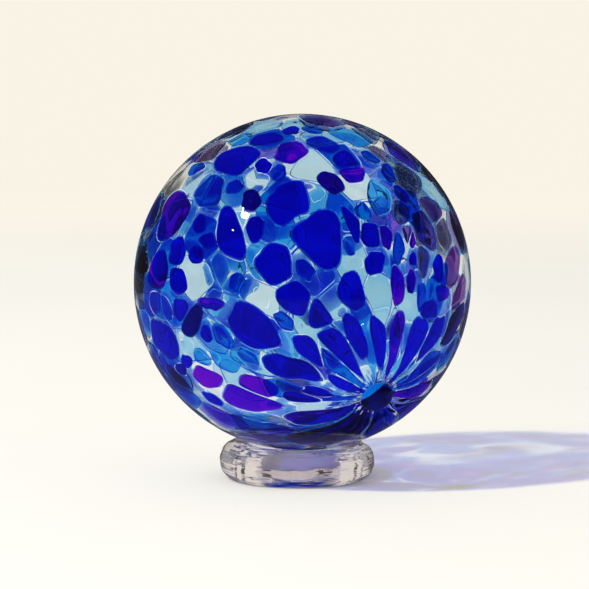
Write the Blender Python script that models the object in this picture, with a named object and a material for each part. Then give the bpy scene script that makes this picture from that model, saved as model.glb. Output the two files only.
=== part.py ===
"""A blown glass ball, sealed with a glass bead, resting on a loose clear glass ring.

Metres, +Z up. The origin is on the table under the ball's centre. The front, -Y, is the side
from which the seal shows low on the right.
"""

import math

import bmesh
import bpy
from mathutils import Vector

# Ball
BALL_DIAMETER = 0.100
BALL_SEGMENTS = 64
BALL_ARC_POINTS = 30

# Seal: the bead of glass that closed the ball, in a puckered hollow
SEAL_TURN_DEG = 33.7  # to the right of the front
SEAL_DROP_DEG = 37.0  # below the horizon
BEAD_DIAMETER = 0.0100
BEAD_CROWN = 0.0036  # height of the bead over the floor of its hollow
BEAD_ARC_POINTS = 5
PUCKER_DIAMETER = 0.026
PUCKER_DEPTH = 0.0012
PUCKER_POINTS = 7

# Ring, drawn out of a round gather and laid down hot, so that its foot is a little flat
RING_OUTER_DIAMETER = 0.0465
RING_TUBE_DIAMETER = 0.0110
RING_SEGMENTS = 72
RING_SIDES = 20
FOOT_PRESS = 1.06  # how far the tube would reach under the table if it weren't pressed flat
FOOT_FULLNESS = 2.3  # superellipse power of the tube's lower half, 2 for a round one
BALL_ASIDE = 0.00135  # the ball's centre stands this far to the right of the ring's

REST_GAP = 0.0003  # kept between the ball and the ring

BALL_GLASS = (0.012, 0.035, 0.50)
RING_GLASS = (0.86, 0.87, 0.90)

ball_radius = BALL_DIAMETER / 2
bead_radius = BEAD_DIAMETER / 2
pucker_radius = PUCKER_DIAMETER / 2
tube_radius = RING_TUBE_DIAMETER / 2
ring_radius = RING_OUTER_DIAMETER / 2 - tube_radius
seat_radius = ball_radius + REST_GAP
ball_height = tube_radius + math.sqrt(
    (seat_radius + tube_radius) ** 2 - ring_radius**2 - BALL_ASIDE**2
)
# The tube is thicker at the left by this much and thinner at the right, which sets the ball aside.
tube_swell = ring_radius * BALL_ASIDE / (ball_height + seat_radius)


def clear_scene():
    for obj in list(bpy.data.objects):
        bpy.data.objects.remove(obj, do_unlink=True)


def glass(name, colour, roughness):
    """A Principled glass of one colour."""
    material = bpy.data.materials.new(name)
    material.use_nodes = True
    shader = material.node_tree.nodes["Principled BSDF"]
    shader.inputs["Base Color"].default_value = (*colour, 1.0)
    shader.inputs["Roughness"].default_value = roughness
    shader.inputs["Metallic"].default_value = 0.0
    shader.inputs["IOR"].default_value = 1.5
    shader.inputs["Transmission Weight"].default_value = 1.0
    return material


def add_object(name, bm, material):
    mesh = bpy.data.meshes.new(name)
    bm.to_mesh(mesh)
    bm.free()
    mesh.materials.append(material)
    obj = bpy.data.objects.new(name, mesh)
    bpy.context.scene.collection.objects.link(obj)
    return obj


def on_sphere(radius_from_axis):
    """Height of the ball's round surface over its centre, at a distance from the seal's axis."""
    return math.sqrt(ball_radius**2 - radius_from_axis**2)


def bead_profile():
    base = on_sphere(bead_radius) - PUCKER_DEPTH
    for i in range(BEAD_ARC_POINTS):
        angle = math.pi / 2 * i / BEAD_ARC_POINTS
        yield bead_radius * math.sin(angle), base + BEAD_CROWN * math.cos(angle)


def pucker_profile():
    for i in range(PUCKER_POINTS):
        share = i / PUCKER_POINTS
        out = bead_radius + (pucker_radius - bead_radius) * share
        sunk = PUCKER_DEPTH * (1 + math.cos(math.pi * share)) / 2
        yield out, on_sphere(out) - sunk


def round_profile():
    first = math.asin(pucker_radius / ball_radius)
    for i in range(BALL_ARC_POINTS + 1):
        angle = first + (math.pi - first) * i / BALL_ARC_POINTS
        yield ball_radius * math.sin(angle), ball_radius * math.cos(angle)


def seal_direction():
    turn = math.radians(SEAL_TURN_DEG)
    drop = math.radians(SEAL_DROP_DEG)
    level = math.cos(drop)
    return Vector((level * math.sin(turn), -level * math.cos(turn), -math.sin(drop)))


def make_ball(material):
    """The ball, turned about the seal's axis: its outline runs from the bead to the far pole."""
    bm = bmesh.new()
    outline = [*bead_profile(), *pucker_profile(), *round_profile()]
    points = [bm.verts.new((out, 0.0, up)) for out, up in outline]
    points[0].co.x = 0.0
    points[-1].co.x = 0.0
    for upper, lower in zip(points, points[1:]):
        bm.edges.new((upper, lower))
    ball = add_object("ball", bm, material)
    turned = ball.modifiers.new("Turned", "SCREW")
    turned.axis = "Z"
    turned.steps = BALL_SEGMENTS
    turned.render_steps = BALL_SEGMENTS
    turned.use_merge_vertices = True
    turned.merge_threshold = 0.000001
    turned.use_smooth_shade = True
    ball.rotation_mode = "QUATERNION"
    ball.rotation_quaternion = seal_direction().to_track_quat("Z", "Y")
    ball.location = (0.0, 0.0, ball_height)
    return ball


def tube_outline(angle):
    """A point of the tube's section for a tube of radius 1: round above, fuller below."""
    out, up = math.cos(angle), math.sin(angle)
    if up < 0:
        power = 2 / FOOT_FULLNESS
        out = math.copysign(abs(out) ** power, out)
        up = -(abs(up) ** power) * FOOT_PRESS
    return out, max(up, -1.0)


def make_ring(material):
    """The ring: its section spun round, then swelled towards the left."""
    bm = bmesh.new()
    section = []
    for i in range(RING_SIDES):
        out, up = tube_outline(2 * math.pi * (i + 0.5) / RING_SIDES)
        section.append(bm.verts.new((ring_radius + tube_radius * out, 0.0, tube_radius * up)))
    edges = [bm.edges.new((a, b)) for a, b in zip(section, section[1:] + section[:1])]
    bmesh.ops.spin(
        bm,
        geom=section + edges,
        cent=(0.0, 0.0, 0.0),
        axis=(0.0, 0.0, 1.0),
        angle=2 * math.pi,
        steps=RING_SEGMENTS,
        use_merge=True,
    )
    for v in bm.verts:
        from_middle = math.hypot(v.co.x, v.co.y)
        towards = Vector((v.co.x, v.co.y, 0.0)) / from_middle
        swelled = tube_radius - tube_swell * towards.x
        out = (from_middle - ring_radius) * swelled / tube_radius
        up = v.co.z * swelled / tube_radius
        v.co = towards * (ring_radius + out)
        v.co.z = swelled + up
    bmesh.ops.remove_doubles(bm, verts=bm.verts, dist=0.000001)
    bmesh.ops.recalc_face_normals(bm, faces=bm.faces)
    ring = add_object("ring", bm, material)
    ring.data.shade_smooth()
    ring.location = (-BALL_ASIDE, 0.0, 0.0)
    return ring


def main():
    clear_scene()
    make_ball(glass("ball_glass", BALL_GLASS, 0.02))
    make_ring(glass("ring_glass", RING_GLASS, 0.02))


main()
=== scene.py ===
import math
import random

import bmesh
import bpy
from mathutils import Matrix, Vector, kdtree, noise


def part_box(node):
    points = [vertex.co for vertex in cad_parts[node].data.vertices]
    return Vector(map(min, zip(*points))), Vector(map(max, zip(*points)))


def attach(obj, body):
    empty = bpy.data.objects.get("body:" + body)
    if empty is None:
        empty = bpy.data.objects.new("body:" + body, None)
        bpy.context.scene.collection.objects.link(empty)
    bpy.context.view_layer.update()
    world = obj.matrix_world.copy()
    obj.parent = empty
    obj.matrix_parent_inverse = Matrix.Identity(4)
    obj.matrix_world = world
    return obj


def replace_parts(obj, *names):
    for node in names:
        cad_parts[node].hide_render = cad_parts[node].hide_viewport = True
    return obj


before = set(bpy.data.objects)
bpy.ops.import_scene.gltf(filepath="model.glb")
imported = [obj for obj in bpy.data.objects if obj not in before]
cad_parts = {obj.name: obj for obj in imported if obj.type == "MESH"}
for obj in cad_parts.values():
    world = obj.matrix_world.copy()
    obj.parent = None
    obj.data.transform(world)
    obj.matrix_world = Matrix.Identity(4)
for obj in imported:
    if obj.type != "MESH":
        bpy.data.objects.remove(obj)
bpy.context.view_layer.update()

mm = 0.001
straightUp = Vector((0.0, 0.0, 1.0))

ballLow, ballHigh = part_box("ball")
ringLow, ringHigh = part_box("ring")
ballCentre = (ballLow + ballHigh) / 2

view = {
    "distance": 1200 * mm,  # camera to the ball's centre
    "elevation": 6.9,  # degrees, looking down
    "lens": 247.6,
    "aimAcross": -2.33 * mm,  # the photograph has the ball a little right of its middle
    "aimUp": -3.58 * mm,  # and a little above
}

ball = {
    "radius": (ballHigh.z - ballLow.z) / 2 - 0.06 * mm,  # a hair inside the CAD ball
    "wall": 4.0 * mm,
    "sealTurn": 33.7,  # degrees to the right of the front
    "sealDrop": 37.0,  # degrees below the horizon
    "pull": 40.0,  # degrees of the gather that were drawn into the seal
    "pullRound": 0.003,  # keeps the chips just off the seal's axis
    "slices": 352,
    "rings": 176,
    "innerSlices": 220,
    "innerRings": 110,
    "index": 1.5,  # of refraction
    "chipRelief": 0.02 * mm,  # the wall swells over each chip
    "reliefEdge": 1.3 * mm,  # and falls within this far of a chip's edge
    "sways": [(0.22 * mm, 20 * mm), (0.07 * mm, 6 * mm)],  # unevenness of the inner wall and its span
    "knob": 2.5 * mm,  # the inner wall comes this far in behind the seal
    "knobReach": 0.16,  # radians
    "glass": ((0.96, 0.98, 1.0), (0.90, 0.95, 1.0)),
    "cloud": 40.0,  # scale of the clouds in the tint
}

chips = {
    "gap": 0.36 * mm,  # clear glass between neighbours
    "depth": 1.9 * mm,  # of a chip's middle below the ball's surface
    "thickness": 1.3 * mm,
    "fullest": 0.22,  # a chip's half thickness is at most this share of its size
    "rounding": 0.6,  # power by which its points crowd towards the edge
    "corner": 7,  # power of the rounding where two straight sides meet
    "waves": ((2, 0.09), (3, 0.07), (5, 0.05)),  # how often and how far its outline waves
    "neighbours": 1.2,  # a chip further off than this times both reaches isn't one
    "leastShare": 0.2,  # what a neighbour leaves of a chip's reach
    "meltNear": 0.5,  # radians over which the edge thins out
    "meltFar": 1.3,
    "cloud": 160.0,
    "slices": 36,
    "rings": 6,
    "hairline": 0.07 * mm,  # half width of the pale lines round the chips, partly the frit's own pale rim and partly a painted highlight for the bright refraction lines at the chips' edges
    "hairSides": 4,
    "hairSwell": (0.1, 0.4, 2.6),  # the least, mean and swing of its width
    "hairWander": (9, 7),  # how often the width changes over the ball, and from chip to chip
    "hairPlace": 0.4,  # share of the gap by which it lies outside the chip
    "hairCloud": 300.0,
    "hairRoughness": 0.5,
    # pale colour of these lines and of the creases round the seal: partly painted highlight
    "hair": ((0.62, 0.80, 1.0), (0.92, 0.97, 1.0)),
    "lined": 0.18,  # share of the chips that have such a line
    "edge": (0.34, 0.68, 0.97),  # a chip thins out to this at its edge
    "index": 1.04,  # of refraction against the glass round it
}

ground = {  # paler glass that lies under the chips and fills the wall between them
    "gap": 0.4 * mm,
    "depth": 3.25 * mm,
    "thickness": 0.6 * mm,
    "corner": 14,
    "radius": 5.6 * mm,
    "tries": 2600,
    "spacing": 0.55,  # of the radius, kept free round a new one
    "overlap": 1.6,  # they grow by this until they meet
    "lined": 0.12,
    "near": {"sky": 4, "azure": 2, "pale": 4, "clear": 9},  # shares of each colour
    "far": {"blue": 2, "sky": 7, "azure": 4, "pale": 6},
    # the same painted rim band, in the paler glass under the chips
    "paintedRimTop": {"clear": 4, "pale": 4, "smoke": 2},
    "paintedRimLow": {"sky": 4, "azure": 2, "clear": 5},
    "gapNear": {"pale": 1},
    "gapFar": {"clear": 1, "pale": 2},
}

chipColours = {
    "cobalt": ((0.0, 0.002, 0.66), (0.0, 0.005, 0.80)),
    "indigo": ((0.006, 0.0, 0.26), (0.014, 0.0, 0.36)),
    "violet": ((0.12, 0.0, 0.70), (0.20, 0.0, 0.64)),
    "plum": ((0.24, 0.09, 0.42), (0.38, 0.20, 0.56)),
    "smoke": ((0.26, 0.22, 0.35), (0.44, 0.37, 0.55)),
    "blue": ((0.0, 0.045, 0.70), (0.0, 0.10, 0.80)),
    "sky": ((0.0, 0.15, 0.78), (0.0, 0.25, 0.86)),
    "azure": ((0.04, 0.42, 0.90), (0.16, 0.58, 0.95)),
    "pale": ((0.58, 0.82, 0.93), (0.80, 0.92, 0.97)),
}

# The chips that show on the near wall: across, up, half length, half width (mm), lean (degrees)
nearChips = {
    "cobalt": [
        (-4.0, 24.5, 8.8, 5.9, 47), (-19.2, 36.9, 9.6, 3.6, 22), (-21.5, 13.7, 9.2, 4.2, 100),
        (-14.1, 16.0, 4.0, 3.0, 60), (-28.4, 12.4, 2.8, 2.6, 0), (-37.1, 9.2, 4.6, 2.6, 85),
        (-7.8, 4.9, 6.8, 6.1, 100), (6.4, 12.7, 9.9, 8.9, 130), (15.5, 16.4, 7.6, 2.8, 115),
        (12.6, 36.4, 3.6, 3.0, 0), (20.0, 14.4, 4.4, 4.2, 0),
        (21.4, 5.8, 4.6, 3.2, 35), (32.9, 6.8, 2.2, 1.4, 95), (40.4, 4.6, 3.6, 2.0, 80),
        (-37.0, 0.7, 5.0, 2.7, 95), (-36.0, -8.1, 4.2, 2.2, 100), (-14.8, -13.6, 11.4, 6.6, -38),
        (-2.2, -4.3, 7.5, 5.2, -25), (4.9, -10.0, 5.5, 4.0, -50), (-28.4, -15.0, 2.5, 2.4, 0),
        (-4.3, -25.1, 9.8, 3.3, -8), (2.6, -20.6, 6.5, 3.2, -28), (-0.7, -34.3, 7.0, 1.7, -4),
        (-41.2, -17.0, 6.5, 3.9, 100), (-34.5, -23.3, 2.4, 1.7, 130), (-36.1, -25.7, 2.2, 1.6, 130),
        (14.6, -2.4, 6.2, 4.0, 95), (15.6, -15.6, 7.9, 2.8, 110), (10.6, -18.9, 10.0, 3.4, 118),
        (22.7, -15.9, 8.0, 2.5, 93), (33.4, -18.6, 8.5, 2.6, 62), (38.7, -15.9, 6.2, 2.4, 62),
        (38.7, -7.9, 4.5, 1.7, 5), (4.3, -32.5, 5.2, 1.4, -12), (-11.4, 42.5, 6.5, 1.6, 12),
    ],
    "indigo": [
        (8.4, 29.7, 4.7, 3.1, -15), (-15.1, 24.4, 3.4, 3.0, 0), (-32.9, -11.5, 5.4, 3.2, 65),
        (45.3, -11.7, 8.0, 2.0, 76), (12.6, -43.8, 7.0, 1.5, 12),
    ],
    "violet": [
        (-3.4, 38.5, 5.6, 3.1, 12), (-38.5, 20.4, 8.6, 3.3, 57), (-42.9, 3.2, 6.5, 2.7, 75),
        (14.9, 32.2, 3.7, 3.0, 10), (24.8, 13.7, 3.8, 2.3, 90), (32.5, 13.2, 3.2, 1.5, 100),
        (28.3, -1.4, 6.8, 2.3, 100), (32.2, 0.4, 3.9, 1.5, 95), (-27.1, -6.3, 4.2, 1.9, 0),
        (-13.2, -31.0, 8.0, 2.9, -20), (-16.4, -34.6, 11.3, 3.7, -15), (-28.4, -28.1, 5.2, 2.7, 0),
        (27.8, -16.5, 7.5, 2.2, 72), (41.0, -3.4, 2.5, 2.2, 0), (5.5, -39.6, 7.0, 1.5, 2),
        (31.3, -32.8, 3.5, 1.2, -15),
    ],
    "plum": [
        (36.2, 14.9, 6.8, 4.6, 95), (38.9, 21.5, 4.4, 3.0, 110),
        (31.4, 14.4, 3.4, 1.8, 100), (44.6, 5.2, 6.5, 2.4, 88), (46.9, -3.5, 6.0, 1.8, 86),
    ],
    "smoke": [
        (31.3, 30.6, 6.0, 3.2, -50), (29.4, 20.8, 4.2, 3.2, 95), (35.6, 6.8, 5.2, 2.4, 92),
        (41.9, 14.6, 5.6, 2.4, 105), (21.8, 38.4, 6.5, 1.5, -27), (-28.0, 38.5, 6.0, 1.6, 38),
    ],
    "blue": [(28.4, 10.8, 5.2, 1.9, 95), (25.8, 32.4, 2.6, 2.2, 90), (29.4, 26.4, 3.6, 1.8, -45)],
    "sky": [
        (18.2, 20.8, 2.8, 2.6, 0), (-23.8, -15.9, 4.5, 3.2, -50), (10.0, -24.8, 6.8, 3.3, 125),
        (37.0, -24.2, 6.0, 2.2, 45), (20.6, 37.5, 4.0, 1.5, -20), (-31.5, 33.9, 3.2, 1.6, 45),
        (13.8, 10.5, 3.0, 1.8, -60),
    ],
    "azure": [
        (23.0, 24.8, 4.9, 4.7, 0), (-42.4, -7.0, 4.2, 2.8, 80), (-23.2, -23.3, 4.8, 2.9, -5),
        (-15.8, -21.8, 5.0, 2.0, -25), (-29.8, -22.2, 3.4, 2.0, -10),
    ],
    "clear": [
        (-31.3, 1.3, 4.2, 3.0, 80), (-12.0, -4.3, 2.8, 2.2, 80), (-32.1, 30.1, 3.6, 2.0, 30),
        (16.8, 27.7, 3.2, 1.9, 0), (4.4, 25.9, 2.7, 1.6, 40), (-12.9, 31.3, 3.7, 1.7, -20),
        (-34.2, -19.0, 2.3, 1.7, 0), (9.7, -6.7, 2.6, 1.6, -30), (31.9, -6.7, 2.6, 2.0, 0),
        (15.6, 6.0, 2.4, 1.6, 0), (26.3, 17.9, 2.5, 1.1, -50), (23.0, -5.2, 7.0, 3.6, 90),
        (3.7, -36.7, 7.0, 1.4, -2), (2.6, 34.5, 4.2, 2.4, 10),
    ],
}

# The chips of the far wall that show between them, measured the same way from the front
farChips = {
    "cobalt": [(-9.7, 33.2, 3.9, 2.4, 0), (-26.2, 28.1, 4.2, 2.6, 20), (-26.9, 21.9, 3.5, 2.7, 80)],
    "blue": [(-18.2, -0.5, 6.3, 3.6, -10)],
    "sky": [
        (-30.0, 17.0, 6.0, 4.5, 60), (-10.0, 16.5, 7.0, 4.5, 10), (-19.5, 26.0, 4.5, 3.5, 30),
        (-24.0, 6.0, 5.0, 4.0, 0), (9.0, -14.0, 5.0, 3.0, -40),
    ],
    "clear": [
        (-32.0, 1.0, 5.0, 4.5, 80), (-11.0, -5.5, 4.5, 3.5, 0), (16.0, 27.0, 6.0, 4.0, 0),
        (24.0, -5.0, 7.0, 5.0, 90), (-33.0, 30.0, 5.0, 3.5, 30), (3.0, 34.0, 5.5, 4.0, 0),
        (15.0, 5.0, 5.0, 3.5, 0), (-34.0, -20.0, 4.5, 3.5, 0), (-25.0, -22.0, 5.5, 4.0, 0),
        (31.0, -7.0, 4.0, 4.0, 0), (2.0, -37.0, 6.0, 2.5, 0), (-5.0, 25.0, 5.0, 4.0, 0),
        (-38.5, 20.4, 8.0, 4.0, 57), (-42.0, 4.0, 6.0, 3.0, 75), (-17.0, -34.0, 11.0, 4.5, -15),
        (-28.0, -28.0, 6.0, 4.0, 0), (21.5, -33.0, 7.0, 7.0, 0),
    ],
}

# Where the wall is pale between the chips, so that no coloured glass is laid there
paleGaps = [(-31.3, 1.3), (-12.0, -4.3), (-32.1, 30.1), (-12.4, 31.0), (16.8, 27.7), (2.3, 25.0),
            (22.0, -3.0), (9.6, -7.0), (-33.5, -19.0), (3.0, 34.0), (15.6, 6.0), (31.9, -6.7)]

# Where the far wall is clear behind a violet chip, which would be near black otherwise
lightBehind = [(21.5, -32.0), (-38.5, 20.4), (-42.0, 4.0), (-13.0, -31.0), (-18.0, -35.0),
               (-28.0, -28.0), (31.0, 12.0)]

# What fills in between: how large, how many tries, and the shares of each colour
fill = {
    "seed": 7,
    "sizes": [(6.6 * mm, 900), (5.0 * mm, 1500), (3.6 * mm, 2600), (2.4 * mm, 2600)],
    "sealSpace": 0.35,  # of the radius, kept off the seal
    "spacing": 0.85,  # of the radius, kept free round a new chip
    "overlap": 1.1,
    "stretch": (1.0, 1.35),
    "near": {"cobalt": 5, "violet": 1, "blue": 4, "sky": 5, "azure": 2, "pale": 2, "clear": 3},
    "far": {"cobalt": 9, "indigo": 1, "violet": 3, "blue": 4, "sky": 4, "azure": 2, "clear": 4},
    # painted rim shade, in part: shares of colours in the band round the rim seen from the camera, mauve
    # above and violet below
    "paintedRimTop": {"clear": 3, "pale": 3, "plum": 4, "smoke": 3, "violet": 2, "sky": 1, "blue": 1},
    "paintedRimLow": {"cobalt": 4, "violet": 5, "indigo": 1, "blue": 2, "sky": 2, "clear": 2},
    "paintedRimBand": (-0.18, 0.36),  # edges of the band round the rim as seen from the camera, by the way towards the camera's side
    "paintedRimFoot": -0.1,
}

viewLift = math.radians(view["elevation"])
viewRight = Vector((1.0, 0.0, 0.0))
viewBack = Vector((0.0, -math.cos(viewLift), math.sin(viewLift)))
viewUp = viewBack.cross(viewRight)
eye = ballCentre + viewBack * view["distance"]

sealTurn = math.radians(ball["sealTurn"])
sealDrop = math.radians(ball["sealDrop"])
sealWay = Vector((math.sin(sealTurn), -math.cos(sealTurn), -math.tan(sealDrop))).normalized()
fromSeal = sealWay.to_track_quat("Z", "Y").to_matrix()  # the ball is shaped round Z, then turned by this
toSeal = fromSeal.transposed()
pullTan = math.tan(math.radians(ball["pull"]) / 2)
print("frame loaded, ball radius", round(ball["radius"] / mm, 2), "mm")


def bent(way, outward, ratio):  # the way of a ray behind a glass surface
    cosine = -outward.dot(way)
    rest = max(1 - ratio * ratio * (1 - cosine * cosine), 0.0)
    return (way * ratio + outward * (ratio * cosine - math.sqrt(rest))).normalized()


def reached(start, way, radius, leaving=False):  # where a ray meets a sphere round the ball's centre
    along = -start.dot(way)
    half = math.sqrt(max(radius**2 - start.length_squared + along * along, 0.0))
    return start + way * (along + half if leaving else along - half)


def seenSpot(across, upward, depth, far):  # direction of the glass that shows there, in the seal's frame
    spot = eye - ballCentre
    way = (viewRight * across + viewUp * upward - spot).normalized()
    hollow = ball["radius"] - ball["wall"]
    spot = reached(spot, way, ball["radius"])
    way = bent(way, spot.normalized(), 1 / ball["index"])
    if far:
        spot = reached(spot, way, hollow)
        way = bent(way, spot.normalized(), ball["index"])
        spot = reached(spot, way, hollow, leaving=True)
        way = bent(way, -spot.normalized(), 1 / ball["index"])
    return toSeal @ reached(spot, way, ball["radius"] - depth, leaving=far).normalized()


def polar(way):
    return math.acos(max(-1.0, min(1.0, way.z))), math.atan2(way.y, way.x)


def direction(tilt, turn):
    return Vector((math.sin(tilt) * math.cos(turn), math.sin(tilt) * math.sin(turn), math.cos(tilt)))


def unpulled(way):  # where this glass was before the gather was drawn in to the seal
    tilt, turn = polar(way)
    return direction(2 * math.atan(math.hypot(math.tan(tilt / 2), pullTan)), turn)


def pulled(way):
    tilt, turn = polar(way)
    beyond = math.tan(tilt / 2) ** 2 - pullTan**2
    return direction(2 * math.atan(math.sqrt(max(beyond, ball["pullRound"]))), turn)


def newChip(middle, along, long, wide, colour, rng, far):
    return {
        "middle": middle, "along": along, "across": middle.cross(along), "long": long, "wide": wide,
        "colour": colour, "far": far, "shade": rng.random(),
        "wobble": [rng.uniform(0.0, 2 * math.pi) for _ in chips["waves"]],
        "walls": [],
    }


def ownReach(chip, angle):  # how far the chip spreads that way on its own, in radians
    reach = 1 / math.hypot(math.cos(angle) / chip["long"], math.sin(angle) / chip["wide"])
    waves = zip(chip["wobble"], chips["waves"])
    return reach * (1 + sum(size * math.cos(times * angle + start) for start, (times, size) in waves))


def bearing(chip, way):
    return math.atan2(chip["across"].dot(way), chip["along"].dot(way))


def reachOf(chip, angle, corner):  # the same, held back by the neighbours
    total = ownReach(chip, angle) ** -corner
    for wallAngle, wall in chip["walls"]:
        facing = math.cos(angle - wallAngle)
        if facing > 0:
            total += (facing / wall) ** corner
    return total ** (-1 / corner)


def placeChips(rng):
    placed = []
    depth = chips["depth"]
    for listed, far in ((nearChips, False), (farChips, True)):
        for colour, rows in listed.items():
            for across, upward, long, wide, lean in rows:
                turned = Vector((math.cos(math.radians(lean)), math.sin(math.radians(lean))))
                start = Vector((across, upward)) * mm
                end = start + turned * long * mm
                side = start + turned.orthogonal() * wide * mm
                middle = unpulled(seenSpot(*start, depth, far))
                end = unpulled(seenSpot(*end, depth, far))
                side = unpulled(seenSpot(*side, depth, far))
                along = (end - middle * end.dot(middle)).normalized()
                long, wide = middle.angle(end), middle.angle(side)
                placed.append(newChip(middle, along, long, wide, colour, rng, far))
    return placed


def anyWay(rng):
    return direction(math.acos(rng.uniform(-1.0, 1.0)), rng.uniform(-math.pi, math.pi))


def isClear(placed, middle, radius):
    for other in placed:
        away = other["middle"].angle(middle)
        if away < radius + other["long"] and away < radius + ownReach(other, bearing(other, middle)):
            return False
    return True


def randomChip(middle, radius, stretch, shares, rng, far):
    colour = rng.choices(list(shares), list(shares.values()))[0]
    along = middle.orthogonal().normalized()
    turn = rng.uniform(0.0, math.pi)
    along = along * math.cos(turn) + middle.cross(along) * math.sin(turn)
    return newChip(middle, along, radius * stretch, radius, colour, rng, far)


def zoneOf(middle):  # partly painted shade and reflection: round the rim as seen from the camera, over the ball from side to side, mauve and clear chips above and violet and blue ones below stand in for the darker look of glass seen at a slant, among plum and smoke chips the ball has of its own
    way = fromSeal @ pulled(middle)
    low, high = fill["paintedRimBand"]
    if low < way.dot(viewBack) < high:
        return "paintedRimTop" if way.z > fill["paintedRimFoot"] else "paintedRimLow"
    return "far" if way.y > 0 else "near"


def fillChips(placed, rng):
    for size, tries in fill["sizes"]:
        radius = size / ball["radius"]
        for _ in range(tries):
            middle = anyWay(rng)
            if polar(middle)[0] < math.radians(ball["pull"]) + fill["sealSpace"] * radius:
                continue
            if isClear(placed, middle, fill["spacing"] * radius):
                zone = zoneOf(middle)
                stretch = rng.uniform(*fill["stretch"])
                grown = radius * fill["overlap"]
                placed.append(randomChip(middle, grown, stretch, fill[zone], rng, zone != "near"))


def groundChips(rng):
    radius = ground["radius"] / ball["radius"]
    placed = []
    for across, upward in paleGaps + lightBehind:
        for far in [True] if (across, upward) in lightBehind else [False, True]:
            middle = unpulled(seenSpot(across * mm, upward * mm, ground["depth"], far))
            shares = ground["gapFar" if far else "gapNear"]
            placed.append(randomChip(middle, radius, 1.0, shares, rng, far))
    for _ in range(ground["tries"]):
        middle = anyWay(rng)
        if polar(middle)[0] <= math.radians(ball["pull"]):
            continue
        if isClear(placed, middle, ground["spacing"] * radius):
            zone = zoneOf(middle)
            placed.append(randomChip(middle, radius, 1.0, ground[zone], rng, zone != "near"))
    for chip in placed:
        chip["long"] *= ground["overlap"]
        chip["wide"] *= ground["overlap"]
    return placed


def setWalls(placed, gap):
    gap /= ball["radius"]
    for chip in placed:
        for other in placed:
            away = chip["middle"].angle(other["middle"])
            if other is chip or away > (chip["long"] + other["long"]) * chips["neighbours"] + gap:
                continue
            angle = bearing(chip, other["middle"])
            mine = ownReach(chip, angle)
            theirs = ownReach(other, bearing(other, chip["middle"]))
            if mine + theirs + gap > away:
                wall = max(away * mine / (mine + theirs) - gap / 2, chips["leastShare"] * mine)
                chip["walls"].append((angle, wall))


def newPiece(name, bm, material):
    mesh = bpy.data.meshes.new(name)
    bm.to_mesh(mesh)
    bm.free()
    mesh.materials.append(material)
    mesh.shade_smooth()
    piece = bpy.data.objects.new(name, mesh)
    bpy.context.scene.collection.objects.link(piece)
    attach(piece, "root")
    return piece


def template(name, shape):
    bm = bmesh.new()
    shape(bm)
    mesh = bpy.data.meshes.new(name)
    bm.to_mesh(mesh)
    bm.free()
    return mesh


def lensShape(bm):
    bmesh.ops.create_uvsphere(bm, u_segments=chips["slices"], v_segments=chips["rings"], radius=1.0)


loopRadius = 2


def loopShape(bm):  # a round loop whose section has the radius 1
    made = bmesh.ops.create_circle(bm, segments=chips["hairSides"], radius=1.0)["verts"]
    for v in made:
        v.co = Vector((loopRadius + v.co.x, 0.0, v.co.y))
    bmesh.ops.spin(
        bm, geom=made + bm.edges[:], cent=(0, 0, 0), axis=(0, 0, 1), angle=2 * math.pi,
        steps=chips["slices"], use_merge=True,
    )
    bmesh.ops.remove_doubles(bm, verts=bm.verts, dist=0.0001)
    bmesh.ops.recalc_face_normals(bm, faces=bm.faces)


def chipSpot(chip, angle, reach, depth):
    way = chip["along"] * math.cos(angle) + chip["across"] * math.sin(angle)
    way = chip["middle"] * math.cos(reach) + way * math.sin(reach)
    return ballCentre + fromSeal @ (pulled(way) * (ball["radius"] - depth))


def addShape(bm, shape):
    start = len(bm.verts)
    bm.from_mesh(shape)
    bm.verts.ensure_lookup_table()
    return bm.verts[start:]


def addLens(bm, shape, chip, layer, melt, shade):
    half = min(layer["thickness"] / 2, chips["fullest"] * min(chip["long"], chip["wide"]) * ball["radius"])
    thinning = chips["meltFar" if chip["far"] else "meltNear"]
    reaches = {}
    for v in addShape(bm, shape):
        angle, lift = math.atan2(v.co.y, v.co.x), v.co.z
        key = round(angle, 3)
        if key not in reaches:
            reaches[key] = reachOf(chip, angle, layer["corner"])
        out = math.hypot(v.co.x, v.co.y)
        v[melt] = min(1.0, math.acos(min(out, 1.0)) / thinning)
        v[shade] = chip["shade"]
        reach = reaches[key] * out ** chips["rounding"]
        v.co = chipSpot(chip, angle, reach, layer["depth"] - half * lift)


def addHair(bm, shape, chip, layer):
    reaches = {}
    least, mean, swing = chips["hairSwell"]
    over, between = chips["hairWander"]
    for v in addShape(bm, shape):
        angle = math.atan2(v.co.y, v.co.x)
        key = round(angle, 3)
        if key not in reaches:
            way = Vector((math.cos(angle), math.sin(angle), chip["shade"] * between))
            way = chip["middle"] * over + way
            width = chips["hairline"] * max(least, mean + swing * noise.noise(way))
            reaches[key] = (reachOf(chip, angle, layer["corner"]), width)
        reach, width = reaches[key]
        out = math.hypot(v.co.x, v.co.y) - loopRadius
        reach += chips["hairPlace"] * layer["gap"] / ball["radius"]
        reach += out * width / ball["radius"]
        v.co = chipSpot(chip, angle, reach, layer["depth"] - v.co.z * width)


def newMaterial(name):
    material = bpy.data.materials.new(name)
    material.use_nodes = True
    material.node_tree.nodes.clear()
    return material, material.node_tree.nodes, material.node_tree.links


def addNode(nodes, kind, **values):
    node = nodes.new(kind)
    for name, value in values.items():
        setattr(node, name, value)
    return node


def setColour(links, socket, value):  # a colour, a number or another node's output
    if isinstance(value, bpy.types.NodeSocket):
        links.new(value, socket)
    elif isinstance(value, float):
        socket.default_value = value
    else:
        socket.default_value = (*value, 1.0)


def mixColours(nodes, links, factor, first, second):
    mix = addNode(nodes, "ShaderNodeMix", data_type="RGBA")
    setColour(links, mix.inputs[0], factor)
    setColour(links, mix.inputs[6], first)
    setColour(links, mix.inputs[7], second)
    return mix.outputs[2]


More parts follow.
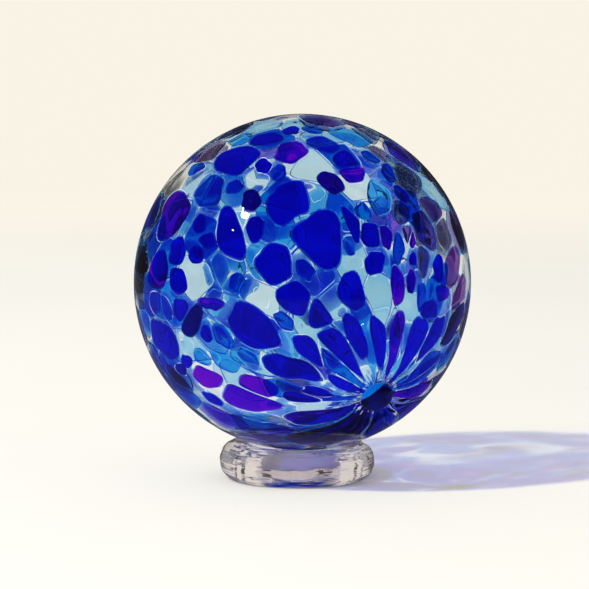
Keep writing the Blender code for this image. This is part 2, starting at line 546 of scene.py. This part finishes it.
clouds = {"detail": 2.0, "low": 0.35, "high": 0.65}  # the colours cross between low and high

cloudedSockets = {
    "Scale": "NodeSocketFloat",
    "Amount": "NodeSocketFloat",
    "First": "NodeSocketColor",
    "Second": "NodeSocketColor",
}


def makeCloudedTint():  # node group: the second colour drifts in soft clouds through the first
    group = bpy.data.node_groups.new("cloudedTint", "ShaderNodeTree")
    for name, kind in cloudedSockets.items():
        group.interface.new_socket(name=name, in_out="INPUT", socket_type=kind)
    group.interface.new_socket(name="Tint", in_out="OUTPUT", socket_type="NodeSocketColor")
    nodes, links = group.nodes, group.links
    given = addNode(nodes, "NodeGroupInput")
    place = addNode(nodes, "ShaderNodeTexCoord")
    cloud = addNode(nodes, "ShaderNodeTexNoise")
    cloud.inputs["Detail"].default_value = clouds["detail"]
    span = addNode(nodes, "ShaderNodeMapRange")
    span.inputs["From Min"].default_value = clouds["low"]
    span.inputs["From Max"].default_value = clouds["high"]
    share = addNode(nodes, "ShaderNodeMath", operation="MULTIPLY")
    links.new(place.outputs["Object"], cloud.inputs["Vector"])
    links.new(given.outputs["Scale"], cloud.inputs["Scale"])
    links.new(cloud.outputs["Fac"], span.inputs["Value"])
    links.new(span.outputs["Result"], share.inputs[0])
    links.new(given.outputs["Amount"], share.inputs[1])
    tint = mixColours(nodes, links, share.outputs[0], given.outputs["First"], given.outputs["Second"])
    out = addNode(nodes, "NodeGroupOutput")
    links.new(tint, out.inputs["Tint"])
    return group


cloudedTint = makeCloudedTint()


def clouded(nodes, links, scale, first, second, amount=1.0):
    node = addNode(nodes, "ShaderNodeGroup", node_tree=cloudedTint)
    for name, value in (("Scale", scale), ("Amount", amount), ("First", first), ("Second", second)):
        setColour(links, node.inputs[name], value)
    return node.outputs["Tint"]


def lampShade(first, second):  # what each of the two surfaces of a coloured body lets through of lamplight
    soft = studio["shadeSoftness"]
    middles = [(a + b) / 2 for a, b in zip(first, second)]
    return tuple((1 - soft) * math.sqrt(c) + soft * s for c, s in zip(middles, studio["shade"]))


def glassOutput(nodes, links, colour, ior, lamp, sky):  # lamps and soft light shine straight through it
    shader = addNode(nodes, "ShaderNodeBsdfPrincipled")
    shader.inputs["Transmission Weight"].default_value = 1.0
    shader.inputs["Roughness"].default_value = 0.0
    shader.inputs["IOR"].default_value = ior
    links.new(colour, shader.inputs["Base Color"])
    path = addNode(nodes, "ShaderNodeLightPath")
    last = shader
    for ray, light in (("Is Shadow Ray", lamp), ("Is Diffuse Ray", sky)):
        through = addNode(nodes, "ShaderNodeBsdfTransparent")
        setColour(links, through.inputs["Color"], light)
        mix = addNode(nodes, "ShaderNodeMixShader")
        links.new(path.outputs[ray], mix.inputs[0])
        links.new(last.outputs[0], mix.inputs[1])
        links.new(through.outputs[0], mix.inputs[2])
        last = mix
    out = addNode(nodes, "ShaderNodeOutputMaterial")
    links.new(last.outputs[0], out.inputs["Surface"])


def chipGlass(name, first, second):
    material, nodes, links = newMaterial(name)
    shade = addNode(nodes, "ShaderNodeAttribute", attribute_name="shade")
    melt = addNode(nodes, "ShaderNodeAttribute", attribute_name="melt")
    body = clouded(nodes, links, chips["cloud"], first, second, shade.outputs["Fac"])
    tint = mixColours(nodes, links, melt.outputs["Fac"], chips["edge"], body)
    glassOutput(nodes, links, tint, chips["index"], lampShade(first, second), studio["skyShade"])
    return material


def tintedGlass(name, first, second, scale, lamp, sky):
    material, nodes, links = newMaterial(name)
    tint = clouded(nodes, links, scale, first, second)
    glassOutput(nodes, links, tint, ball["index"], lamp, sky)
    return material


def paleSatinWithPaintedLight(name, first, second, scale, roughness):  # an opaque pale satin surface, not see-through glass; it carries painted light: the bead's lit cap, the creases' glints and in part the pale lines round the chips
    material, nodes, links = newMaterial(name)
    shader = addNode(nodes, "ShaderNodeBsdfPrincipled")
    links.new(clouded(nodes, links, scale, first, second), shader.inputs["Base Color"])
    shader.inputs["Roughness"].default_value = roughness
    out = addNode(nodes, "ShaderNodeOutputMaterial")
    links.new(shader.outputs[0], out.inputs["Surface"])
    return material


paintedGlintCreases = {  # short and pale, between the bead and the petals: the crinkles of the glass, with painted glints for the light they catch
    "count": 60,
    "start": (5.3, 6.6),  # mm from the seal's axis
    "halfLength": (0.4, 1.3),  # mm
    "halfWidth": (0.04, 0.12),  # mm
    "lean": 0.5,
    "curve": 0.4,
    "depth": 0.45 * mm,  # below the floor of the hollow
}


# painted glints: pale creases on the crinkled glass round the seal
def addPaintedGlintCreases(bm, shape, rng):
    for _ in range(paintedGlintCreases["count"]):
        turn = rng.uniform(0.0, 2 * math.pi)
        start = rng.uniform(*paintedGlintCreases["start"]) * mm
        half = rng.uniform(*paintedGlintCreases["halfLength"]) * mm
        thin = rng.uniform(*paintedGlintCreases["halfWidth"]) * mm
        lean = rng.uniform(-paintedGlintCreases["lean"], paintedGlintCreases["lean"])
        for v in addShape(bm, shape):
            out, aside = start + half + v.co.x * half, v.co.y * thin
            out, aside = out + aside * lean, aside + v.co.x * half * lean * paintedGlintCreases["curve"]
            way = direction(out / ball["radius"], turn + aside / out)
            depth = sunkAt(out) + paintedGlintCreases["depth"] - v.co.z * thin
            v.co = ballCentre + fromSeal @ (way * (ball["radius"] - depth))


def makeChips():
    rng = random.Random(fill["seed"])
    placed = placeChips(rng)
    listed = len(placed)
    fillChips(placed, rng)
    setWalls(placed, chips["gap"])
    under = groundChips(rng)
    setWalls(under, ground["gap"])
    lens = template("lens", lensShape)
    for colour, (first, second) in chipColours.items():
        bm = bmesh.new()
        melt = bm.verts.layers.float.new("melt")
        shade = bm.verts.layers.float.new("shade")
        for layer, members in ((chips, placed), (ground, under)):
            for chip in members:
                if chip["colour"] == colour:
                    addLens(bm, lens, chip, layer, melt, shade)
        newPiece(colour + "Chips", bm, chipGlass(colour + "Glass", first, second))
    # pale lines round some chips and pale creases round the seal, partly painted highlight
    hairs = bmesh.new()
    loop = template("loop", loopShape)
    for layer, members in ((chips, placed), (ground, under)):
        for chip in members:
            if chip["shade"] < layer["lined"]:
                addHair(hairs, loop, chip, layer)
    addPaintedGlintCreases(hairs, lens, rng)
    glass = paleSatinWithPaintedLight("paleLineAndGlintSatin", *chips["hair"], chips["hairCloud"], chips["hairRoughness"])
    newPiece("paleHairlinesAndPaintedGlints", hairs, glass)
    print("chips", len(placed), "of which listed", listed, "and under them", len(under))
    return placed


seal = {  # the bead that closed the ball, in its puckered hollow
    "radius": 5.0 * mm,
    "crown": 3.6 * mm,
    "lobes": 3,
    "lobeSwell": 0.03,
    "lobeTurn": 0.7,
    "slices": 128,
    "rings": 64,
    "hollow": 13.0 * mm,  # radius
    "hollowDepth": 1.2 * mm,
    "reach": 0.5,  # radians from the seal's axis, past which the ball is round
    "pleats": [(23, 0.18 * mm, 4.0 * mm, 17.0 * mm), (46, 0.22 * mm, 4.2 * mm, 8.6 * mm)],
    "pleatPeak": 0.7,  # below 1, so that they are deepest nearer the bead
    "pleatWander": 6,
    "pleatTimes": 2,  # how often this changes round the seal
    "pleatRun": 6,  # mm along a pleat over which it wanders
    "glass": ((0.0, 0.002, 0.10), (0.0, 0.005, 0.22)),
    "cloud": 200.0,
    "lampShade": (0.3, 0.3, 0.6),
    "skyShade": (0.5, 0.5, 0.8),
    "paintedLitCap": ((0.0, 0.16, 0.62), (0.0, 0.22, 0.74)),  # painted light: the bead's upper left is drawn in paler, brighter blue, where light comes through it
    "paintedLitCapCloud": 250.0,
    "paintedLitCapRoughness": 0.05,
    "paintedLightWay": (-0.6, 0.8, 0.35),  # right, up and towards the photograph's side
    # painted light: faces turned towards that way past this cosine get the paler colour
    "paintedLightReach": 0.5,
}


def sunkAt(out):  # how far the hollow lies below the ball's round, this far from the seal's axis
    share = (out - seal["radius"]) / (seal["hollow"] - seal["radius"])
    share = max(0.0, min(1.0, share))
    return seal["hollowDepth"] * (1 + math.cos(math.pi * share)) / 2


def pleatAt(out, turn):  # radial folds of the gathered glass round the bead
    total = 0.0
    often = seal["pleatTimes"]
    for count, depth, inner, outer in seal["pleats"]:
        share = (out - inner) / (outer - inner)
        if 0 < share < 1:
            along = out / mm / seal["pleatRun"] + count
            place = Vector((math.cos(turn) * often, math.sin(turn) * often, along))
            wander = seal["pleatWander"] * noise.noise(place)
            swell = math.sin(math.pi * share ** seal["pleatPeak"])
            total += depth * swell * (math.cos(count * turn + wander) - 1) / 2
    return total


def makeShell(placed):
    tree = kdtree.KDTree(len(placed))
    for index, chip in enumerate(placed):
        tree.insert(chip["middle"], index)
    tree.balance()
    bm = bmesh.new()
    outer = bmesh.ops.create_uvsphere(
        bm, u_segments=ball["slices"], v_segments=ball["rings"], radius=1.0
    )["verts"]
    for v in outer:
        way = v.co.normalized()
        tilt, turn = polar(way)
        out = ball["radius"] * math.sin(tilt)
        near = tree.find_n(unpulled(way), 2)
        inside = (near[1][2] - near[0][2]) / 2 * ball["radius"] / ball["reliefEdge"]
        inside = min(inside, 1.0)
        radius = ball["radius"] - ball["chipRelief"] * (1 - inside * inside * (3 - 2 * inside))
        if tilt < seal["reach"]:
            radius += pleatAt(out, turn) - sunkAt(out)
        v.co = ballCentre + fromSeal @ (way * radius)
    start = len(bm.faces)
    inner = bmesh.ops.create_uvsphere(
        bm, u_segments=ball["innerSlices"], v_segments=ball["innerRings"], radius=1.0
    )["verts"]
    for v in inner:
        way = v.co.normalized()
        tilt, turn = polar(way)
        radius = ball["radius"] - ball["wall"]
        for size, span in ball["sways"]:
            radius += size * noise.noise(way * ball["radius"] / span)
        radius -= ball["knob"] * math.exp(-((tilt / ball["knobReach"]) ** 2))
        v.co = ballCentre + fromSeal @ (way * radius)
    bm.faces.ensure_lookup_table()
    bmesh.ops.reverse_faces(bm, faces=bm.faces[start:])
    lamp = lampShade(*ball["glass"])
    glass = tintedGlass("wallGlass", *ball["glass"], ball["cloud"], lamp, studio["skyShade"])
    shell = newPiece("ballWall", bm, glass)
    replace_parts(shell, "ball")
    print("ball wall done")


def makeBead():
    bm = bmesh.new()
    base = math.sqrt(ball["radius"] ** 2 - seal["radius"] ** 2) - seal["hollowDepth"]
    across, upward, back = seal["paintedLightWay"]
    paintedLightWay = (toSeal @ (viewUp * upward + viewRight * across + viewBack * back)).normalized()
    made = bmesh.ops.create_uvsphere(
        bm, u_segments=seal["slices"], v_segments=seal["rings"], radius=1.0
    )["verts"]
    # painted light: faces towards the lit way take the second, paler material
    for face in bm.faces:
        middle = face.calc_center_median().normalized()
        face.material_index = int(paintedLightWay.dot(middle) > seal["paintedLightReach"])
    for v in made:
        way = v.co.copy()
        lobe = math.cos(seal["lobes"] * math.atan2(way.y, way.x) + seal["lobeTurn"])
        radius = seal["radius"] * (1 + seal["lobeSwell"] * lobe)
        spot = Vector((way.x * radius, way.y * radius, base + way.z * seal["crown"]))
        v.co = ballCentre + fromSeal @ spot
    glass = tintedGlass("beadGlass", *seal["glass"], seal["cloud"], seal["lampShade"], seal["skyShade"])
    bead = newPiece("sealBead", bm, glass)
    # opaque paler material for the painted lit part of the bead
    paintedLitCap = paleSatinWithPaintedLight("beadPaintedLitCap", *seal["paintedLitCap"], seal["paintedLitCapCloud"], seal["paintedLitCapRoughness"])
    bead.data.materials.append(paintedLitCap)
    print("bead done")


ring = {
    "tube": 5.47 * mm,  # radius
    "press": 1.06,  # how far it would reach under the table if its foot weren't flat
    "fullness": 2.3,
    "sides": 192,
    "steps": 216,
    "ridges": [(9, 0.10 * mm)],  # drawn lines that run round it
    "drift": (3, 1.2),  # how far they wander and how often
    "striae": [(3.0, 0.20 * mm), (7.0, 0.09 * mm)],  # uneven ones: how many and how deep
    "striaeRun": 2.2,  # how often they change across the ring
    "ripple": 0.08 * mm,
    "rippleTimes": (2.5, 1.5),  # round the ring and round the tube
    "footSmooth": 6,  # power by which all of these fade out towards the foot
    "lift": 0.02 * mm,  # keeps the foot above the table
    "cloud": 60.0,
    "glass": ((0.81, 0.78, 0.83), (0.75, 0.71, 0.77)),
    "lampShade": (0.52, 0.48, 0.54),  # each surface lets this much lamplight and soft light through
    "skyShade": (0.60, 0.57, 0.62),
}


def ridgeAt(angle, towards):
    around, across = ring["rippleTimes"]
    wander, often = ring["drift"]
    place = towards * around + straightUp * (across * math.cos(angle))
    total = ring["ripple"] * noise.noise(place)
    for count, depth in ring["ridges"]:
        drift = wander * noise.noise(towards * often + straightUp * count)
        total += depth * (math.cos(count * angle + drift) - 1) / 2
    for times, depth in ring["striae"]:
        along = towards.x * ring["striaeRun"] + times
        place = Vector((math.cos(angle) * times, math.sin(angle) * times, along))
        total += depth * (noise.noise(place) - 0.5)
    return total * (1 - max(0.0, -math.sin(angle)) ** ring["footSmooth"])


def makeRing():
    spread = ringHigh.y - ring["tube"]  # radius of the tube's middle line
    swell = (ringHigh.z - ringLow.z) / 2 - ring["tube"]  # it is thicker at the left by this
    middle = Vector(((ringLow.x + ringHigh.x) / 2 + swell, 0.0, 0.0))
    bm = bmesh.new()
    section = bmesh.ops.create_circle(bm, segments=ring["sides"], radius=1.0)["verts"]
    for v in section:
        out, lift = v.co.x, v.co.y
        if lift < 0:
            power = 2 / ring["fullness"]
            out = math.copysign(abs(out) ** power, out)
            lift = -(abs(lift) ** power) * ring["press"]
        v.co = Vector((spread + ring["tube"] * out, 0.0, ring["tube"] * max(lift, -1.0)))
    bmesh.ops.spin(
        bm, geom=section + bm.edges[:], cent=(0, 0, 0), axis=(0, 0, 1), angle=2 * math.pi,
        steps=ring["steps"], use_merge=True,
    )
    bmesh.ops.remove_doubles(bm, verts=bm.verts, dist=0.000001)
    for v in bm.verts:
        level = Vector((v.co.x, v.co.y, 0.0))
        towards = level.normalized()
        out, lift = level.length - spread, v.co.z
        swelled = ring["tube"] - swell * towards.x
        thick = (swelled + ridgeAt(math.atan2(lift, out), towards)) / ring["tube"]
        rise = swelled + ring["lift"] + lift * thick
        v.co = middle + towards * (spread + out * thick) + straightUp * rise
    bmesh.ops.recalc_face_normals(bm, faces=bm.faces)
    glass = tintedGlass("ringGlass", *ring["glass"], ring["cloud"], ring["lampShade"], ring["skyShade"])
    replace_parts(newPiece("ringLoop", bm, glass), "ring")
    print("ring done")


studio = {
    "floorRadius": 1300 * mm,
    "floorFade": (470 * mm, 880 * mm),
    "floor": ((0.86, 0.865, 0.855), (0.847, 0.852, 0.842)),
    "floorCloud": 6.0,
    "floorRoughness": 0.9,
    "floorSpecular": 0.1,
    "floorGloss": 0.10,  # share of the floor's brightness that shows in reflections
    "backdrop": (0.947, 0.896, 0.783),
    "softLight": 0.68,  # share of the backdrop's brightness that lights the floor
    "gloss": 0.04,  # and that shows in reflections of the room in front
    "roomDark": 0.05,  # the same seen through glass
    "roomEdge": (0.3, -0.2),  # where the room begins, by the way to the back
    "gapDark": 0.10,  # and what is seen in the gaps beside the backdrop
    "darkGaps": [(-0.40, 0.15), (0.26, 0.12)],  # middle and half width of each, by the way across
    "gapTop": (0.30, 0.16),  # and the way up at which they end, which is a soft edge
    "shade": (0.89, 0.86, 0.96),  # the glass's shadow is mixed with this, per surface
    "shadeSoftness": 0.3,
    "skyShade": (0.95, 0.95, 0.965),  # what each surface lets through of the soft light
    "lampDistance": 3000 * mm,
    "lamps": [  # way from the ball, size and power
        ((-0.588, -0.373, 0.717), 140 * mm, 60.0),
        ((-0.636, -0.360, 0.830), 60 * mm, 3.0),
        ((-0.518, -0.380, 0.647), 60 * mm, 3.0),
        ((-0.638, -0.396, 0.530), 60 * mm, 3.0),
    ],
}


def mirrored(nodes, links):  # 1 for a ray that was reflected last, 0 for one that went through glass
    path = addNode(nodes, "ShaderNodeLightPath")
    value = addNode(nodes, "ShaderNodeMath", operation="SUBTRACT", use_clamp=True)
    links.new(path.outputs["Is Glossy Ray"], value.inputs[0])
    links.new(path.outputs["Is Transmission Ray"], value.inputs[1])
    return value.outputs[0]


def softSpan(nodes, links, value, low, high):  # 0 at the first value, 1 at the second
    span = addNode(nodes, "ShaderNodeMapRange", interpolation_type="SMOOTHSTEP")
    span.inputs["From Min"].default_value = low
    span.inputs["From Max"].default_value = high
    links.new(value, span.inputs["Value"])
    return span.outputs["Result"]


def dimmer(nodes, links, factors, share):  # 1, or the share where all the factors are 1
    value = factors[0]
    for factor in factors[1:]:
        times = addNode(nodes, "ShaderNodeMath", operation="MULTIPLY")
        links.new(value, times.inputs[0])
        links.new(factor, times.inputs[1])
        value = times.outputs[0]
    dim = addNode(nodes, "ShaderNodeMath", operation="MULTIPLY_ADD")
    links.new(value, dim.inputs[0])
    dim.inputs[1].default_value = share - 1
    dim.inputs[2].default_value = 1.0
    return dim.outputs[0]


def makeFloor():
    bm = bmesh.new()
    bmesh.ops.create_circle(bm, cap_ends=True, segments=128, radius=studio["floorRadius"])
    mesh = bpy.data.meshes.new("floor")
    bm.to_mesh(mesh)
    bm.free()
    floor = bpy.data.objects.new("floor", mesh)
    bpy.context.scene.collection.objects.link(floor)
    material, nodes, links = newMaterial("paleFloor")
    place = addNode(nodes, "ShaderNodeTexCoord")
    length = addNode(nodes, "ShaderNodeVectorMath", operation="LENGTH")
    links.new(place.outputs["Object"], length.inputs[0])
    fade = softSpan(nodes, links, length.outputs["Value"], *studio["floorFade"])
    paint = addNode(nodes, "ShaderNodeBsdfPrincipled")
    paint.inputs["Roughness"].default_value = studio["floorRoughness"]
    paint.inputs["Specular IOR Level"].default_value = studio["floorSpecular"]
    tone = clouded(nodes, links, studio["floorCloud"], *studio["floor"])
    dim = dimmer(nodes, links, [mirrored(nodes, links)], studio["floorGloss"])
    links.new(mixColours(nodes, links, dim, (0.0, 0.0, 0.0), tone), paint.inputs["Base Color"])
    clear = addNode(nodes, "ShaderNodeBsdfTransparent")
    mix = addNode(nodes, "ShaderNodeMixShader")
    links.new(fade, mix.inputs[0])
    links.new(paint.outputs[0], mix.inputs[1])
    links.new(clear.outputs[0], mix.inputs[2])
    out = addNode(nodes, "ShaderNodeOutputMaterial")
    links.new(mix.outputs[0], out.inputs["Surface"])
    mesh.materials.append(material)


def makeLight():
    world = bpy.data.worlds.new("studio")
    bpy.context.scene.world = world
    world.use_nodes = True
    nodes, links = world.node_tree.nodes, world.node_tree.links
    path = addNode(nodes, "ShaderNodeLightPath")
    way = addNode(nodes, "ShaderNodeTexCoord")
    parts = addNode(nodes, "ShaderNodeSeparateXYZ")
    links.new(way.outputs["Generated"], parts.inputs[0])
    room = softSpan(nodes, links, parts.outputs["Y"], *studio["roomEdge"])
    low = softSpan(nodes, links, parts.outputs["Z"], *studio["gapTop"])
    strengths = [
        dimmer(nodes, links, [path.outputs["Is Diffuse Ray"]], studio["softLight"]),
        dimmer(nodes, links, [path.outputs["Is Transmission Ray"], room], studio["roomDark"]),
        dimmer(nodes, links, [mirrored(nodes, links)], studio["gloss"]),
    ]
    for middle, half in studio["darkGaps"]:
        beside = addNode(nodes, "ShaderNodeMath", operation="COMPARE")
        links.new(parts.outputs["X"], beside.inputs[0])
        beside.inputs[1].default_value = middle
        beside.inputs[2].default_value = half
        seen = [path.outputs["Is Transmission Ray"], beside.outputs[0], low]
        strengths.append(dimmer(nodes, links, seen, studio["gapDark"]))
    last = strengths[0]
    for strength in strengths[1:]:
        both = addNode(nodes, "ShaderNodeMath", operation="MULTIPLY")
        links.new(last, both.inputs[0])
        links.new(strength, both.inputs[1])
        last = both.outputs[0]
    back = nodes["Background"]
    back.inputs["Color"].default_value = (*studio["backdrop"], 1.0)
    links.new(last, back.inputs["Strength"])
    for way, size, power in studio["lamps"]:
        way = Vector(way).normalized()
        light = bpy.data.lights.new("lamp", "AREA")
        light.energy = power
        light.size = size
        lamp = bpy.data.objects.new("lamp", light)
        bpy.context.scene.collection.objects.link(lamp)
        lamp.location = ballCentre + way * studio["lampDistance"]
        lamp.rotation_euler = way.to_track_quat("Z", "Y").to_euler()
    print("light ready")


def makeCamera():
    lens = bpy.data.cameras.new("camera")
    lens.lens = view["lens"]
    lens.sensor_width = 36.0
    lens.clip_start = 0.01
    camera = bpy.data.objects.new("camera", lens)
    bpy.context.scene.collection.objects.link(camera)
    camera.location = eye
    aim = ballCentre + viewRight * view["aimAcross"] + viewUp * view["aimUp"]
    camera.rotation_euler = (eye - aim).to_track_quat("Z", "Y").to_euler()
    bpy.context.scene.camera = camera


def setRender():
    scene = bpy.context.scene
    scene.view_settings.view_transform = "Standard"
    scene.cycles.max_bounces = 48
    scene.cycles.transmission_bounces = 48
    scene.cycles.glossy_bounces = 16
    scene.cycles.diffuse_bounces = 3
    scene.cycles.transparent_max_bounces = 64
    scene.cycles.caustics_reflective = False
    scene.cycles.caustics_refractive = False
    scene.cycles.sample_clamp_indirect = 40.0


setRender()
makeCamera()
makeLight()
makeFloor()
allChips = makeChips()
makeShell(allChips)
makeBead()
makeRing()

bpy.context.view_layer.update()
